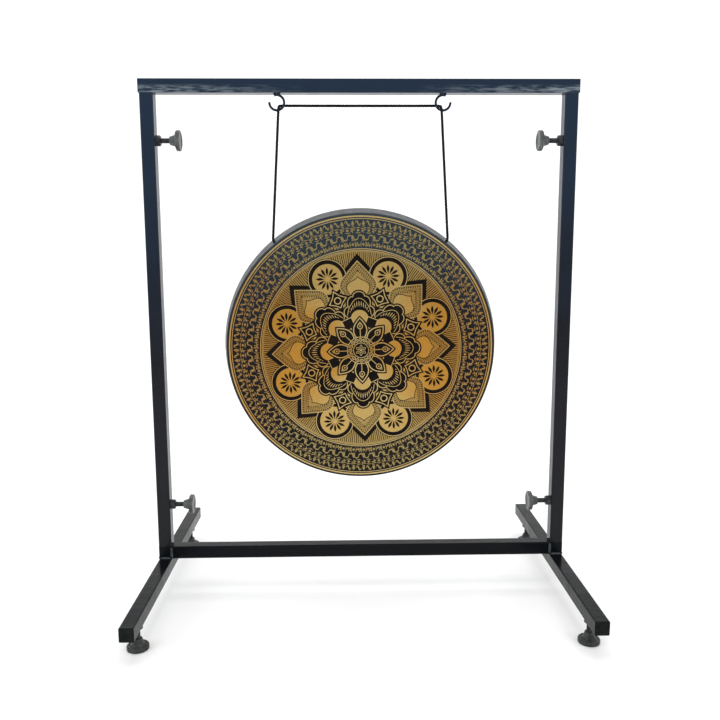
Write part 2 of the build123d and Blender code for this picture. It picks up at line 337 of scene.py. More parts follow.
# ---------------- materials
class Shader:
    """A small helper that builds one node material."""

    def __init__(self, name):
        self.material = bpy.data.materials.new(name)
        self.material.use_nodes = True
        self.tree = self.material.node_tree
        self.bsdf = self.tree.nodes["Principled BSDF"]
        self.place = self.tree.nodes.new("ShaderNodeTexCoord").outputs["Object"]

    def set(self, **values):
        for key, value in values.items():
            self.bsdf.inputs[key.replace("_", " ")].default_value = value
        return self

    def plug(self, value, socket):
        """Links a socket in, or sets a plain value, where a colour gets its alpha."""
        if isinstance(value, bpy.types.NodeSocket):
            self.tree.links.new(value, socket)
        else:
            socket.default_value = (*value, 1) if isinstance(value, tuple) else value

    def node(self, kind, **inputs):
        made = self.tree.nodes.new(kind)
        for key, value in inputs.items():
            self.plug(value, made.inputs[key.replace("_", " ")])
        return made

    def stretched(self, x, y, z):
        """Object coordinates scaled along each axis, for brushed or drawn-out texture."""
        made = self.node("ShaderNodeMapping", Vector=self.place)
        made.inputs["Scale"].default_value = (x, y, z)
        return made.outputs["Vector"]

    def noise(self, scale, detail=3.0, roughness=0.55, where=None):
        where = where or self.place
        made = self.node("ShaderNodeTexNoise", Vector=where, Scale=scale, Detail=detail, Roughness=roughness)
        return made.outputs["Fac"]

    def cells(self, scale, where=None, feature="F1"):
        made = self.node("ShaderNodeTexVoronoi", Vector=where or self.place, Scale=scale)
        made.feature = feature
        return made.outputs["Distance"]

    def ramp(self, value, *stops):
        """Colours or greys placed along a value. A stop is (position, grey or colour)."""
        made = self.node("ShaderNodeValToRGB", Fac=value)
        bar = made.color_ramp.elements
        while len(bar) < len(stops):
            bar.new(1.0)
        for element, (position, colour) in zip(bar, stops):
            element.position = position
            colour = colour if isinstance(colour, tuple) else (colour,) * 3
            element.color = (*colour, 1)
        return made.outputs["Color"]

    def mix(self, factor, a, b, blend="MIX"):
        made = self.tree.nodes.new("ShaderNodeMix")
        made.data_type, made.blend_type = "RGBA", blend
        for value, slot in ((factor, 0), (a, 6), (b, 7)):
            self.plug(value, made.inputs[slot])
        return made.outputs[2]

    def maths(self, operation, a, b=0.0):
        made = self.tree.nodes.new("ShaderNodeMath")
        made.operation = operation
        for value, socket in zip((a, b), made.inputs):
            self.plug(value, socket)
        return made.outputs[0]

    def gain(self, value, middle, factor):
        """How far a value lies above a middle one, times a factor."""
        return self.maths("MULTIPLY", self.maths("SUBTRACT", value, middle), factor)

    def axis(self, letter):
        parts = self.node("ShaderNodeSeparateXYZ", Vector=self.place)
        return parts.outputs[letter]

    def link(self, key, socket):
        self.tree.links.new(socket, self.bsdf.inputs[key])
        return self

    def rough(self, scale, detail, low, high):
        return self.link("Roughness", self.ramp(self.noise(scale, detail), (0.3, low), (0.7, high)))

    def bump(self, *layers):
        """Bump layers of (height socket, distance in metres), one on the other."""
        normal = None
        for height, distance in layers:
            made = self.node("ShaderNodeBump", Height=height, Strength=1.0, Distance=distance)
            if normal is not None:
                self.tree.links.new(normal, made.inputs["Normal"])
            normal = made.outputs["Normal"]
        return self.link("Normal", normal)


def floor_material():
    s = Shader("pale_floor")
    tone = s.ramp(s.noise(3.0, 4.0), (0.3, 0.90), (0.7, 0.93))
    s.link("Base Color", tone).set(Roughness=0.9, Specular_IOR_Level=0.1)
    return s.material


def enamel(name, painted_reflection=False, mirror=0.16, coat=0.08):
    """Black gloss enamel over steel, with painted light that makes it navy higher up and near black lower down, and
    with orange peel.
    """
    s = Shader(name)
    # painted light: the colour runs from near black low down to navy higher up, broken a little by noise
    height = s.maths("ADD", s.axis("Z"), s.gain(s.noise(9.0, 4.0), 0.5, 0.5))
    low, middle, high = (0.004, 0.005, 0.006), (0.003, 0.004, 0.008), (0.006, 0.017, 0.037)
    base = s.ramp(height, (0.05, low), (0.45, middle), (0.95, high))
    specks = s.ramp(s.noise(420.0, 2.0), (0.66, 0.0), (0.78, 0.14))
    base = s.mix(specks, base, (0.08, 0.09, 0.10))
    rub = s.ramp(s.noise(26.0, 6.0, 0.7), (0.52, 0.0), (0.78, 1.0))
    rough = s.ramp(rub, (0.0, 0.18), (1.0, 0.36))
    if painted_reflection:
        # painted reflection: pale wavy streaks on the lower front of the rail near both ends
        base = s.mix(rail_painted_reflection(s), base, (0.20, 0.24, 0.27))
    s.link("Base Color", base).link("Roughness", rough)
    peel = s.noise(230.0, 2.0)
    runs = s.noise(24.0, 3.0, 0.5, s.stretched(0.35, 1.0, 1.0))
    s.bump((runs, 0.0011), (peel, 0.00012))
    s.set(Coat_Weight=coat, Coat_Roughness=0.06, Specular_IOR_Level=mirror)
    return s.material


def rail_painted_reflection(s):
    """Wavy pale streaks of painted reflection along the lower half of the rail's front face, near both of its ends."""
    low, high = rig.box("top_rail")
    middle = (low[2] + high[2]) / 2
    wave = s.noise(1.0, 4.0, 0.65, s.stretched(26.0, 90.0, 190.0))
    streak = s.ramp(wave, (0.42, 0.0), (0.60, 1.0))
    far = s.maths("ABSOLUTE", s.axis("X"))
    near_ends = s.ramp(far, (0.10, 0.0), (0.30, 0.75), (0.40, 1.0))
    lower = s.ramp(s.maths("ADD", s.gain(s.axis("Z"), middle, 40.0), 0.5), (0.30, 1.0), (0.62, 0.0))
    front = s.ramp(s.maths("MULTIPLY", s.axis("Y"), -80.0), (0.80, 0.0), (0.98, 1.0))
    share = s.maths("MULTIPLY", s.maths("MULTIPLY", streak, near_ends), front)
    return s.maths("MULTIPLY", s.maths("MULTIPLY", share, lower), 0.85)


def steel_black(name):
    """Oiled black screw steel, a little brighter in random patches."""
    s = Shader(name)
    base = s.ramp(s.noise(160.0, 4.0), (0.35, (0.018, 0.020, 0.023)), (0.75, (0.06, 0.062, 0.066)))
    s.link("Base Color", base)
    s.rough(90.0, 3.0, 0.28, 0.5)
    s.bump((s.noise(900.0, 2.0), 0.00004))
    s.set(Metallic=0.75)
    return s.material


def moulded(name, base, worn, mirror=0.3):
    """Black moulded plastic with a faint grain, rubbed greyer in places."""
    s = Shader(name)
    tone = s.ramp(s.noise(70.0, 5.0, 0.65), (0.40, base), (0.72, worn))
    s.link("Base Color", tone)
    s.rough(40.0, 4.0, 0.26, 0.46)
    s.bump((s.noise(1300.0, 2.0), 0.00005))
    s.set(Specular_IOR_Level=mirror)
    return s.material


def weld_metal():
    s = Shader("painted_weld")
    base = s.ramp(s.noise(60.0, 4.0), (0.35, (0.012, 0.016, 0.022)), (0.7, (0.05, 0.06, 0.068)))
    s.link("Base Color", base)
    s.rough(120.0, 3.0, 0.14, 0.34)
    s.bump((s.noise(500.0, 3.0), 0.0003))
    s.set(Coat_Weight=0.12, Coat_Roughness=0.08, Specular_IOR_Level=0.25)
    return s.material


def cord_fibre():
    s = Shader("black_cord")
    base = s.ramp(s.noise(700.0, 3.0), (0.35, (0.003, 0.003, 0.004)), (0.75, (0.012, 0.013, 0.015)))
    s.link("Base Color", base)
    s.rough(300.0, 2.0, 0.62, 0.85)
    s.bump((s.noise(2600.0, 2.0, 0.6, s.stretched(1.0, 1.0, 0.25)), 0.0002))
    s.set(Specular_IOR_Level=0.12)
    return s.material


def gilding(name, pale, deep, roughness=0.34):
    """Bright brass cut through the lacquer, with a painted reflection that makes it warmer towards the sides of the
    gong and paler at top and bottom.
    """
    s = Shader(name)
    x, z = s.axis("X"), s.maths("SUBTRACT", s.axis("Z"), GONG_MIDDLE_Z)
    xx, zz = s.maths("MULTIPLY", x, x), s.maths("MULTIPLY", z, z)
    # painted reflection: how near a point lies to the sides of the gong, where the brass is painted deeper and warmer
    sideways = s.maths("DIVIDE", xx, s.maths("ADD", s.maths("ADD", xx, zz), 1e-4))
    drift = s.gain(s.noise(17.0, 4.0, 0.6), 0.5, 0.9)
    tone = s.ramp(s.maths("ADD", sideways, drift), (0.28, pale), (0.80, deep))
    fine = s.ramp(s.noise(900.0, 2.0), (0.3, 0.72), (0.7, 1.0))
    s.link("Base Color", s.mix(0.7, tone, fine, "MULTIPLY"))
    s.rough(220.0, 3.0, roughness - 0.08, roughness + 0.1)
    s.bump((s.noise(1.0, 2.0, 0.5, s.stretched(1500.0, 1500.0, 240.0)), 0.00003))
    s.set(Metallic=0.92)
    return s.material


HAMMER_MARKS = 62.0  # to the metre


def lacquer(name, dark, light, gloss=0.22, mirror=0.10, steel=None):
    """Black lacquer over the beaten bronze, brown-black, with a painted steel-blue reflection towards the top if
    asked.
    """
    s = Shader(name)
    tone = s.ramp(s.noise(30.0, 5.0, 0.65), (0.35, dark), (0.72, light))
    # painted reflection: steel blue towards the top of the gong, in patches
    if steel:
        patches = s.maths("MULTIPLY", s.noise(9.0, 3.0), 0.3)
        height = s.maths("ADD", s.gain(s.axis("Z"), GONG_MIDDLE_Z, 4.0), patches)
        share = s.ramp(height, (0.25, 0.0), (1.0, 1.0))
        tone = s.mix(share, tone, steel)
    s.link("Base Color", tone)
    s.rough(60.0, 4.0, gloss, gloss + 0.16)
    s.bump((s.cells(HAMMER_MARKS), 0.0004), (s.noise(480.0, 3.0), 0.00006))
    s.set(Specular_IOR_Level=mirror)
    return s.material


def beaten_bronze():
    """The raw back: hammer marks with ridges between them, rubbed bright in places and also lit with a painted
    highlight, and painted shade in the hollows.
    """
    s = Shader("beaten_bronze")
    marks = s.stretched(1.0, 0.25, 1.0)
    warped = s.node("ShaderNodeVectorMath")
    warped.operation = "ADD"
    s.plug(marks, warped.inputs[0])
    s.plug(s.maths("MULTIPLY", s.noise(30.0, 2.0), 0.012), warped.inputs[1])
    ridge = s.cells(HAMMER_MARKS, warped.outputs["Vector"], "DISTANCE_TO_EDGE")
    dimple = s.cells(HAMMER_MARKS, warped.outputs["Vector"], "SMOOTH_F1")
    worn = s.ramp(s.noise(12.0, 5.0, 0.6), (0.35, 0.05), (0.75, 0.45))
    # painted shade: darker towards the middle of each hammer mark
    hollow_painted_shade = s.ramp(dimple, (0.05, (0.118, 0.070, 0.034)), (0.60, (0.205, 0.126, 0.058)))
    # worn ridges, which also serve as a painted highlight round each hammer mark
    edge = s.maths("MULTIPLY", s.ramp(ridge, (0.0, 1.0), (0.30, 0.0)), worn)
    tone = s.mix(edge, hollow_painted_shade, (0.26, 0.163, 0.075))
    smoke = s.ramp(s.noise(7.0, 7.0, 0.7), (0.42, 0.0), (0.80, 0.70))
    s.link("Base Color", s.mix(smoke, tone, (0.055, 0.038, 0.026)))
    s.rough(120.0, 4.0, 0.30, 0.46)
    s.bump((dimple, 0.0030), (s.noise(420.0, 3.0), 0.00015))
    s.set(Metallic=0.9)
    return s.material


def rim_metal():
    """The blackened rim, polished enough to pick up the light."""
    s = Shader("blackened_rim")
    tone = s.ramp(s.noise(22.0, 5.0, 0.6), (0.35, (0.011, 0.015, 0.018)), (0.7, (0.030, 0.038, 0.043)))
    s.link("Base Color", tone)
    s.rough(70.0, 4.0, 0.30, 0.42)
    s.bump((s.cells(70.0), 0.0005), (s.noise(420.0, 3.0), 0.00008))
    s.set(Metallic=0.05, Specular_IOR_Level=0.14)
    return s.material


MATERIALS = {}


def make_materials():
    MATERIALS.update(
        frame=enamel("black_enamel"),
        rail=enamel("black_enamel_scuffed", painted_reflection=True),
        base=enamel("black_enamel_base", mirror=0.06, coat=0.03),
        cap=moulded("cap_plastic", (0.004, 0.005, 0.005), (0.010, 0.012, 0.012), 0.07),
        screw=steel_black("black_screw_steel"),
        knob=moulded("knob_plastic", (0.045, 0.050, 0.050), (0.115, 0.125, 0.120)),
        pad=moulded("pad_plastic", (0.020, 0.023, 0.021), (0.060, 0.066, 0.060), 0.2),
        weld=weld_metal(),
        cord=cord_fibre(),
        # each gilding runs from its pale colour at top and bottom of the gong to its deep one at the sides, a painted
        # reflection
        gold=gilding("engraved_gold", (0.385, 0.262, 0.088), (0.34, 0.172, 0.036)),
        amber=gilding("smooth_gold", (0.50, 0.335, 0.110), (0.46, 0.225, 0.036), 0.28),
        line=gilding("gold_line", (0.56, 0.41, 0.17), (0.50, 0.29, 0.085), 0.30),
        glyph=gilding("band_gold", (0.33, 0.248, 0.097), (0.33, 0.185, 0.057), 0.32),
        lacquer=lacquer("black_lacquer", (0.003, 0.002, 0.002), (0.009, 0.006, 0.004), 0.22, 0.06),
        # band_lacquer takes the painted steel-blue reflection towards the top of the gong
        field=lacquer("band_lacquer", (0.003, 0.004, 0.006), (0.012, 0.010, 0.008), 0.26, 0.10,
                      steel=(0.018, 0.029, 0.038)),
        rim=rim_metal(),
        back=beaten_bronze(),
    )


# ---------------- the gong
GONG_TILT = radians(2.94)  # it hangs with its weight below the holes
GONG_MIDDLE_Z = 0.4838
FACE_RADIUS, BACK_RADIUS = 257.0, 266.0  # millimetres in this section, as in the CAD
DEPTH, WALL, CORNER = 43.0, 1.8, 5.0
SHOULDER, CROWN_RISE, SHOULDER_RISE, BAND_RISE = 192.0, 11.0, 7.0, 4.3
BAND_HALF = (FACE_RADIUS - SHOULDER) / 2
BAND_BEND = (SHOULDER_RISE - 2 * BAND_RISE) / (2 * BAND_HALF ** 2)
BAND_SLOPE = (BAND_RISE - SHOULDER_RISE) / BAND_HALF - BAND_BEND * BAND_HALF
HOLE_DEPTH, HOLE_ANGLE, HOLE_RADIUS, DRILL_HALF = 12.0, radians(38.6), 3.6, 12
HOLE_REACH = FACE_RADIUS + (BACK_RADIUS - FACE_RADIUS) / DEPTH * HOLE_DEPTH
HOLE_DROP = HOLE_REACH * cos(HOLE_ANGLE)
GONG_SEGMENTS, FACE_RINGS, RIM_RINGS, INNER_RIM_RINGS, BACK_RINGS = 288, 56, 14, 10, 40
MIDDLE_RADIUS = 0.4  # of the small facet that closes the face and the back


def gong_matrix():
    """From the flat gong, in millimetres with its face towards -Y, to where it hangs."""
    pivot = Vector(JOINTS["gong_tilt"]["pos_m"])
    turn = Matrix.Rotation(GONG_TILT, 4, "X")
    inner = Matrix.Translation((0, -HOLE_DEPTH, -HOLE_DROP))
    return Matrix.Translation(pivot) @ Matrix.Scale(MM, 4) @ turn @ inner


def face_height(r):
    """How far the face stands forward of the rim corner at a radius."""
    if r <= SHOULDER:
        return CROWN_RISE + (SHOULDER_RISE - CROWN_RISE) * (r / SHOULDER) ** 2
    past = r - SHOULDER
    return SHOULDER_RISE + BAND_SLOPE * past + BAND_BEND * past * past


def corner_arc(radius_out, depth, fillet, steps):
    """The rounded corner between face and rim, as (radius, depth) points."""
    slope = BAND_SLOPE + 2 * BAND_BEND * (FACE_RADIUS - SHOULDER)
    face = Vector((1, -slope)).normalized()
    rim = Vector((BACK_RADIUS - FACE_RADIUS, DEPTH)).normalized()
    half = face.angle(rim) / 2
    reach = fillet * sin(half) / cos(half)
    corner = Vector((radius_out, depth))
    start, end = corner - face * reach, corner + rim * reach
    centre = corner + (rim - face).normalized() * (fillet / cos(half))
    points = []
    for i in range(steps + 1):
        spot = start.lerp(end, i / steps) - centre
        points.append(centre + spot.normalized() * fillet)
    return points


def gong_section():
    """The closed section as (radius, depth, part) rows, from the crown round to the back."""
    inset = WALL / cos(atan2(BACK_RADIUS - FACE_RADIUS, DEPTH))
    outer = corner_arc(FACE_RADIUS, 0.0, CORNER, steps=8)
    inner = corner_arc(FACE_RADIUS - inset, WALL, CORNER - WALL, steps=5)
    lip, lip_inside = Vector((BACK_RADIUS, DEPTH)), Vector((BACK_RADIUS - inset, DEPTH))
    face = []
    for i in range(FACE_RINGS):
        r = MIDDLE_RADIUS + (outer[0].x - 1.5 * MIDDLE_RADIUS) * i / FACE_RINGS
        face.append(Vector((r, -face_height(r))))
    rim = [outer[-1].lerp(lip, i / RIM_RINGS) for i in range(1, RIM_RINGS + 1)]
    back = [lip_inside.lerp(inner[-1], i / INNER_RIM_RINGS) for i in range(INNER_RIM_RINGS)] + inner[::-1]
    for i in range(1, BACK_RINGS + 1):
        r = inner[0].x * (1 - i / BACK_RINGS) + MIDDLE_RADIUS
        back.append(Vector((r, WALL - face_height(r))))
    parts = (("field", face + outer[:3]), ("rim", outer[3:] + rim), ("back", back))
    return [(p.x, p.y, part) for part, points in parts for p in points]


def add_gong():
    section = gong_section()
    place = gong_matrix()
    verts, faces = lathe([(r, y) for r, y, _ in section], GONG_SEGMENTS)
    verts = [place @ Vector((x, depth, z)) for x, z, depth in verts]
    looks = ("field", "rim", "back")
    slots = []
    for _, _, part in section[1:]:
        slots += [looks.index(part)] * GONG_SEGMENTS
    slots += [looks.index("field"), looks.index("back")]
    gong = new_object("gong_body", verts, faces, [MATERIALS[look] for look in looks], slots, smooth=True)
    drill_holes(gong, place)
    dress(gong, "gong", "gong", "gong_bronze")


def drill_holes(gong, place):
    """Cuts the two cord holes through the rim."""
    for side in SIDES.values():
        ends = (HOLE_REACH - DRILL_HALF, HOLE_REACH + DRILL_HALF)
        verts, faces = lathe([(HOLE_RADIUS, height) for height in ends], segments=32)
        turn = Matrix.Translation((0, HOLE_DEPTH, 0)) @ Matrix.Rotation(side * HOLE_ANGLE, 4, "Y")
        drill = new_object("drill", [place @ turn @ Vector(v) for v in verts], faces, [])
        cut = gong.modifiers.new("hole", "BOOLEAN")
        cut.operation, cut.object, cut.solver = "DIFFERENCE", drill, "EXACT"
        bpy.context.view_layer.objects.active = gong
        with bpy.context.temp_override(object=gong):
            bpy.ops.object.modifier_apply(modifier=cut.name)
        bpy.data.objects.remove(drill)


# ---------------- the engraved pattern
UNIT = 255.0  # millimetres; every pattern size below is a share of it
PATTERN_TURN = radians(2.4)
SECTORS = 8
LEVEL = 0.045  # millimetres between one layer of the pattern and the next
SUNK = -0.6  # the layer where the side walls end, under the face


class Inlay:
    """Thin raised shapes laid on the face of the gong, all in one mesh."""

    def __init__(self, names):
        self.verts, self.faces, self.slots = [], [], []
        self.names = names
        self.place = gong_matrix()

    def point(self, x, z, level):
        """A point of the pattern, in shares of UNIT, on the face at that layer."""
        x, z = x * UNIT, z * UNIT
        lift = face_height(hypot(x, z)) + level * LEVEL
        self.verts.append(self.place @ Vector((x, -lift, z)))
        return len(self.verts) - 1

    def add_face(self, corners, name):
        self.faces.append(corners)
        self.slots.append(self.names.index(name))

    def row(self, outline, level):
        return [self.point(x, z, level) for x, z in outline]

    def bridge(self, a, b, name, closed=True):
        """Faces from one row of points to the next."""
        count = len(a)
        for i in range(count if closed else count - 1):
            n = (i + 1) % count
            self.add_face((a[i], b[i], b[n], a[n]), name)

    def skirt(self, outline, top, name):
        """Side walls from the rim of a shape down into the face."""
        self.bridge(top, self.row(outline, SUNK), name)

    def fill(self, outline, centre, name, level, rings=2):
        """A solid shape, star-shaped about its centre and outlined anticlockwise."""
        cx, cz = centre
        rows = []
        for k in range(rings):
            share = 1 - k / rings
            smaller = [(cx + (x - cx) * share, cz + (z - cz) * share) for x, z in outline]
            rows.append(self.row(smaller, level))
        self.skirt(outline, rows[0], name)
        for outer, inner in zip(rows, rows[1:]):
            self.bridge(inner, outer, name)
        middle = self.point(cx, cz, level)
        for i in range(len(outline)):
            self.add_face((rows[-1][i - 1], rows[-1][i], middle), name)

    def band(self, inner, outer, name, level, segments=240, rings=1):
        """A flat ring about the middle of the face."""
        circles = [circle((0, 0), inner + (outer - inner) * k / rings, segments) for k in range(rings + 1)]
        rows = [self.row(outline, level) for outline in circles]
        for a, b in zip(rows, rows[1:]):
            self.bridge(a, b, name)
        self.skirt(circles[-1], rows[-1], name)
        self.skirt(circles[0][::-1], rows[0][::-1], name)

    def stroke(self, path, width, name, level, closed=False, taper=False):
        """A line of even width along a path, or one that thins towards both ends."""
        count = len(path)
        left, right = [], []
        for i, ((x, z), (dx, dz)) in enumerate(zip(path, mitres(path, closed, 0.45))):
            half = width / 2
            if taper:
                half *= 0.25 + 0.75 * sin(pi * i / (count - 1))
            left.append((x + dx * half, z + dz * half))
            right.append((x - dx * half, z - dz * half))
        sides = ((left, SUNK), (left, level), (right, level), (right, SUNK))
        rows = [self.row(points, depth) for points, depth in sides]
        for a, b in zip(rows, rows[1:]):
            self.bridge(a, b, name, closed)
        if not closed:
            self.add_face(tuple(row[0] for row in reversed(rows)), name)
            self.add_face(tuple(row[-1] for row in rows), name)

    def disc(self, centre, radius, name, level, steps=20, rings=1):
        self.fill(circle(centre, radius, steps), centre, name, level, rings)

    def ring(self, centre, radius, width, name, level, steps=20):
        self.stroke(circle(centre, radius, steps), width, name, level, closed=True)

    def build(self, title):
        skins = [MATERIALS[name] for name in self.names]
        return new_object(title, self.verts, self.faces, skins, self.slots)


def unit(v):
    """A direction at length 1, or None where there is none."""
    length = hypot(*v)
    return (v[0] / length, v[1] / length) if length > 1e-12 else None


def polar(r, angle):
    return (r * cos(angle), r * sin(angle))


def circle(centre, radius, steps):
    turns = [2 * pi * i / steps for i in range(steps)]
    return [(centre[0] + radius * cos(a), centre[1] + radius * sin(a)) for a in turns]


def spoke(angle, centre=(0, 0), size=1.0):
    """A function that lays (out, across) points along a spoke from the middle, or from a centre."""
    cx, cz = centre
    c, s = size * cos(angle), size * sin(angle)
    return lambda out, across: (cx + out * c - across * s, cz + out * s + across * c)


def spokes(offset=0.0):
    for k in range(SECTORS):
        yield spoke(pi / 2 + PATTERN_TURN + (k + offset) * 2 * pi / SECTORS)


def laid(put, path):
    """A path laid along a spoke."""
    return [put(*p) for p in path]


def smooth_path(points, steps=5):
    """A Catmull-Rom curve through an open list of points."""
    path = []
    for i in range(len(points) - 1):
        p0, p1 = points[max(i - 1, 0)], points[i]
        p2, p3 = points[i + 1], points[min(i + 2, len(points) - 1)]
        for j in range(steps):
            t = j / steps
            path.append(tuple(
                0.5 * (2 * b + (c - a) * t + (2 * a - 5 * b + 4 * c - d) * t * t
                       + (3 * b - a - 3 * c + d) * t ** 3)
                for a, b, c, d in zip(p0, p1, p2, p3)))
    path.append(points[-1])
    return path


def both_sides(half):
    """A path from across 0 out along one side, made whole by its mirror image."""
    return [(out, -across) for out, across in reversed(half[1:])] + half


def mitres(path, closed, least):
    """For each point of a path, the step to its left that keeps a line an even width round the bend."""
    count = len(path)
    steps = []
    for i, (x, z) in enumerate(path):
        before = path[(i - 1) % count] if closed or i else path[i]
        after = path[(i + 1) % count] if closed or i < count - 1 else path[i]
        way_in = unit((x - before[0], z - before[1]))
        way_out = unit((after[0] - x, after[1] - z))
        way_in, way_out = way_in or way_out, way_out or way_in
        nx, nz = unit((-(way_in[1] + way_out[1]), way_in[0] + way_out[0])) or (0, 0)
        turn = max(least, nz * way_in[0] - nx * way_in[1])
        steps.append((nx / turn, nz / turn))
    return steps


def grown(path, step):
    """An open path moved sideways by step, to its right as it runs."""
    return [(x - dx * step, z - dz * step) for (x, z), (dx, dz) in zip(path, mitres(path, False, 0.5))]


# Half outlines of the pattern's shapes, as (out, across) from tip to foot.
ARCH_STRAIGHT = [(0.668, 0.0), (0.632, 0.034), (0.595, 0.068), (0.555, 0.103)]
ARCH_CURVE = [(0.555, 0.103), (0.525, 0.127), (0.490, 0.139), (0.455, 0.132), (0.415, 0.105), (0.360, 0.080)]
HEART = [
    (0.546, 0.0), (0.534, 0.010), (0.522, 0.030), (0.510, 0.055),
    (0.493, 0.075), (0.470, 0.082), (0.445, 0.076), (0.410, 0.055),
]
CLOUD_LOBES = (
    [(0.440, 0.0), (0.436, 0.020), (0.422, 0.038), (0.404, 0.044)],
    [(0.404, 0.044), (0.402, 0.060), (0.388, 0.076), (0.364, 0.084), (0.340, 0.083), (0.330, 0.078)],
    [(0.330, 0.078), (0.324, 0.095), (0.306, 0.109), (0.283, 0.112), (0.263, 0.103), (0.250, 0.086)],
)


def pattern_ground(inlay):
    """The gold ground of the mandala with its fine radial cuts, and the rings round it."""
    inlay.band(0.004, 0.735, "gold", 1, segments=192, rings=16)
    cuts = 37 * SECTORS
    for j in range(cuts):
        angle = 2 * pi * (j + 0.5) / cuts
        sway = 0.0016 * sin(j * 1.7)
        path = [polar(0.560 + 0.0335 * k, angle + sway * sin(k * 1.9)) for k in range(6)]
        inlay.stroke(path, 0.0054 + 0.0008 * sin(j * 2.3), "lacquer", 2)
    for inner, outer in ((0.737, 0.742), (0.748, 0.754), (0.965, 0.970), (0.979, 0.990)):
        inlay.band(inner, outer, "line", 2)


def flower_rounds(inlay):
    """Gold rounds with twelve-petalled flowers, between the arches."""
    for put in spokes(0.5):
        centre = put(0.586, 0)
        for radius, name, level in ((0.149, "lacquer", 3), (0.144, "line", 4), (0.138, "lacquer", 5)):
            inlay.disc(centre, radius, name, level, steps=44, rings=3)
        inlay.disc(put(0.583, 0), 0.112, "amber", 6, steps=40, rings=3)
        for k in range(12):
            way = spoke(2 * pi * k / 12 + PATTERN_TURN, centre)
            half = [(0.016 + 0.068 * t, 0.0098 * sin(pi * t ** 1.4)) for t in (0.95, 0.8, 0.6, 0.4, 0.2, 0)]
            petal = laid(way, both_sides([(0.086, 0.0)] + half)[1:])
            inlay.fill(petal, way(0.055, 0), "lacquer", 7, rings=1)


def arches(inlay):
    """Pointed arches in two beaded bands round a smooth heart, each over a black shadow."""
    half = ARCH_STRAIGHT[:-1] + smooth_path(ARCH_CURVE)
    whole = both_sides(half)
    shadow_half = [(0.716, 0.0), (0.672, 0.040), (0.628, 0.078), (0.582, 0.114), (0.556, 0.132)]
    shadow = both_sides(shadow_half + [(0.520, 0.145)])
    for put in spokes():
        inlay.fill(laid(put, shadow), put(0.56, 0), "lacquer", 3, rings=3)
    for put in spokes():
        inlay.fill(laid(put, whole), put(0.50, 0), "gold", 8, rings=4)
        edges = ((0.003, 0.006, "line"), (0.0085, 0.0030, "lacquer"), (0.040, 0.0030, "lacquer"))
        for depth, width, name in edges:
            inlay.stroke(laid(put, grown(whole, -depth)), width, name, 9)
        for depth, size in ((0.0175, 0.0075), (0.0300, 0.0052), (0.0505, 0.0068)):
            row = grown(whole, -depth)
            for spot in spaced(row, 0.0165):
                inlay.disc(put(*spot), size * 0.75, "lacquer", 9, steps=6)
        heart = both_sides(smooth_path(HEART, 3))
        inlay.fill(laid(put, grown(heart, 0.0052)), put(0.47, 0), "lacquer", 9.5, rings=3)
        inlay.fill(laid(put, heart), put(0.47, 0), "amber", 10, rings=3)


def spaced(path, step):
    """Points about step apart along an open path of the pattern."""
    found, _ = stations(path, lambda length: max(2, int(length / step)))
    return [tuple(a + (b - a) * t for a, b in zip(path[i], path[i + 1])) for i, t in found]


def kites(inlay):
    """Black four-cornered stars with a ring, between the cloud petals."""
    def outline(tip, side, out, foot):
        half = smooth_path([(tip, 0), ((tip + out) / 2 - 0.003, side * 0.40), (out, side)], 4)
        half += smooth_path([(out, side), ((foot + out) / 2 + 0.002, side * 0.42), (foot, 0)], 4)[1:]
        return both_sides(half)[:-1]

    for put in spokes(0.5):
        black = laid(put, outline(0.507, 0.092, 0.408, 0.325))
        inlay.fill(black, put(0.41, 0), "lacquer", 10, rings=2)
        gold = laid(put, outline(0.482, 0.068, 0.405, 0.352))
        inlay.stroke(gold, 0.0068, "line", 11, closed=True)
        inlay.ring(put(0.409, 0), 0.0235, 0.0078, "line", 11)
        for side in (1, -1):
            inlay.ring(put(0.352, 0.030 * side), 0.008, 0.004, "line", 11, steps=10)


def cloud_petals(inlay):
    """Black lobed petals with a gold edge and a fan of short cuts."""
    half = []
    for lobe in CLOUD_LOBES:
        half += smooth_path(lobe, 4)[(1 if half else 0):]
    edge = both_sides(half)
    middle, squash = 0.235, 0.62
    fan = []
    for k in range(-40, 41):
        way = radians(k * 1.95)
        reach = 0.148 + 0.0075 * abs(cos(way * 2.3)) - 0.012 * (k / 40) ** 2
        fan.append((middle + reach * cos(way), reach * sin(way) * squash))
    for put in spokes():
        inlay.fill(laid(put, grown(edge, 0.0135)), put(0.34, 0), "lacquer", 12, rings=2)
    for put in spokes():
        inlay.stroke(laid(put, edge), 0.0062, "line", 13)
        inlay.stroke(laid(put, fan), 0.0046, "line", 13)
        for k in range(-6, 7):
            way = radians(k * 12)
            reach = 0.136 - 0.0004 * k * k
            start = (middle + 0.094 * cos(way), 0.094 * sin(way) * 0.80)
            end = (middle + reach * cos(way), reach * sin(way) * squash)
            path = [(start[0] + (end[0] - start[0]) * t, start[1] + (end[1] - start[1]) * t)
                    for t in (0, 0.33, 0.67, 1)]
            inlay.stroke(laid(put, path), 0.0066, "line", 13, taper=True)


def crescents_and_squares(inlay):
    """Smooth gold domes behind the inner petals, and the small black squares between them."""
    dome, block = 0.238, 0.217
    for put in spokes():
        inlay.disc(put(dome, 0), 0.083, "lacquer", 14, steps=32, rings=2)
        inlay.disc(put(dome, 0), 0.0655, "amber", 15, steps=32, rings=2)
    for put in spokes(0.5):
        for size, name, level in ((0.041, "line", 16), (0.0355, "lacquer", 17)):
            corners = ((-1, -1), (1, -1), (1, 1), (-1, 1))
            square = [(block + out * size, across * size) for out, across in corners]
            inlay.fill(laid(put, square), put(block, 0), name, level, rings=1)


